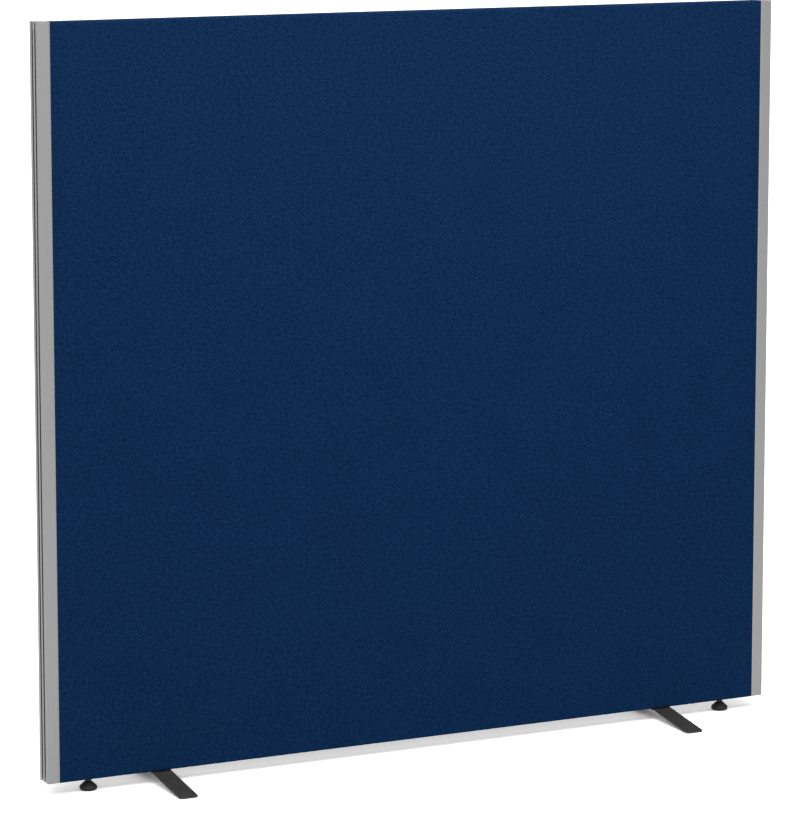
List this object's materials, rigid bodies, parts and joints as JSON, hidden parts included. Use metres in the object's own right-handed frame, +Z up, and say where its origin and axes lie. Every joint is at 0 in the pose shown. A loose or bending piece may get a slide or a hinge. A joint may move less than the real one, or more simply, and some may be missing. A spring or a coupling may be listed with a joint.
{
  "type": "acoustic divider screen",
  "caption": "Free-standing acoustic divider screen: cloth-covered panel between grooved aluminium edge profiles, on bent bar feet and levelling glides.",
  "frame": {"origin": "on the floor, under the middle of the screen", "axes": "+X along the screen towards its right end seen from the front, +Y from the front to the back, +Z up"},
  "size_m": [1.625, 0.302, 1.5],
  "materials": {
    "timber": "planed softwood",
    "mineral_wool": "matt fibrous slab",
    "wadding": "matt polyester wadding",
    "cover_cloth": "matt mottled woven cloth, dark blue",
    "anodised_profile": "satin anodised",
    "grey_plastic": "matt moulded",
    "black_powder_coat": "fine-textured powder coat",
    "black_plastic": "matt moulded",
    "black_steel": "blackened steel",
    "zinc_steel": "bright zinc"
  },
  "bodies": {
    "screen": {"left_stile": "timber", "right_stile": "timber", "top_rail": "timber", "bottom_rail": "timber", "upper_cross_rail": "timber", "lower_cross_rail": "timber", "frame_screws": "zinc_steel", "upper_core": "mineral_wool", "middle_core": "mineral_wool", "lower_core": "mineral_wool", "front_wadding": "wadding", "back_wadding": "wadding", "fabric_cover": "cover_cloth", "cover_staples": "zinc_steel", "left_edge_profile": "anodised_profile", "right_edge_profile": "anodised_profile", "left_profile_screws": "zinc_steel", "right_profile_screws": "zinc_steel", "left_top_cap": "grey_plastic", "right_top_cap": "grey_plastic", "left_foot_bar": "black_powder_coat", "right_foot_bar": "black_powder_coat", "left_foot_spacer": "black_plastic", "right_foot_spacer": "black_plastic", "left_foot_screws": "black_steel", "right_foot_screws": "black_steel", "left_foot_sleeves": "zinc_steel", "right_foot_sleeves": "zinc_steel", "left_glide_sleeve": "zinc_steel", "right_glide_sleeve": "zinc_steel"},
    "left_pad": {"left_glide_pad": "black_plastic"},
    "left_stem": {"left_glide_stem": "black_steel"},
    "right_pad": {"right_glide_pad": "black_plastic"},
    "right_stem": {"right_glide_stem": "black_steel"}
  },
  "joints": [
    {"name": "left_glide_height", "type": "slide", "parent": "screen", "child": "left_pad", "axis": [0, 0, -1], "range_m": [-0.0025, 0.0075]},
    {"name": "left_glide_turn", "type": "hinge", "parent": "left_pad", "child": "left_stem", "pos_m": [-0.7205, 0, 0.0075], "axis": [0, 0, -1], "range_deg": [-720, 2160]},
    {"name": "right_glide_height", "type": "slide", "parent": "screen", "child": "right_pad", "axis": [0, 0, -1], "range_m": [-0.0025, 0.0075]},
    {"name": "right_glide_turn", "type": "hinge", "parent": "right_pad", "child": "right_stem", "pos_m": [0.7205, 0, 0.0075], "axis": [0, 0, -1], "range_deg": [-720, 2160]}
  ],
  "couplings": [
    {"joint": "left_glide_height", "follows": "left_glide_turn", "m_per_rad": 0.00019894},
    {"joint": "right_glide_height", "follows": "right_glide_turn", "m_per_rad": 0.00019894}
  ]
}
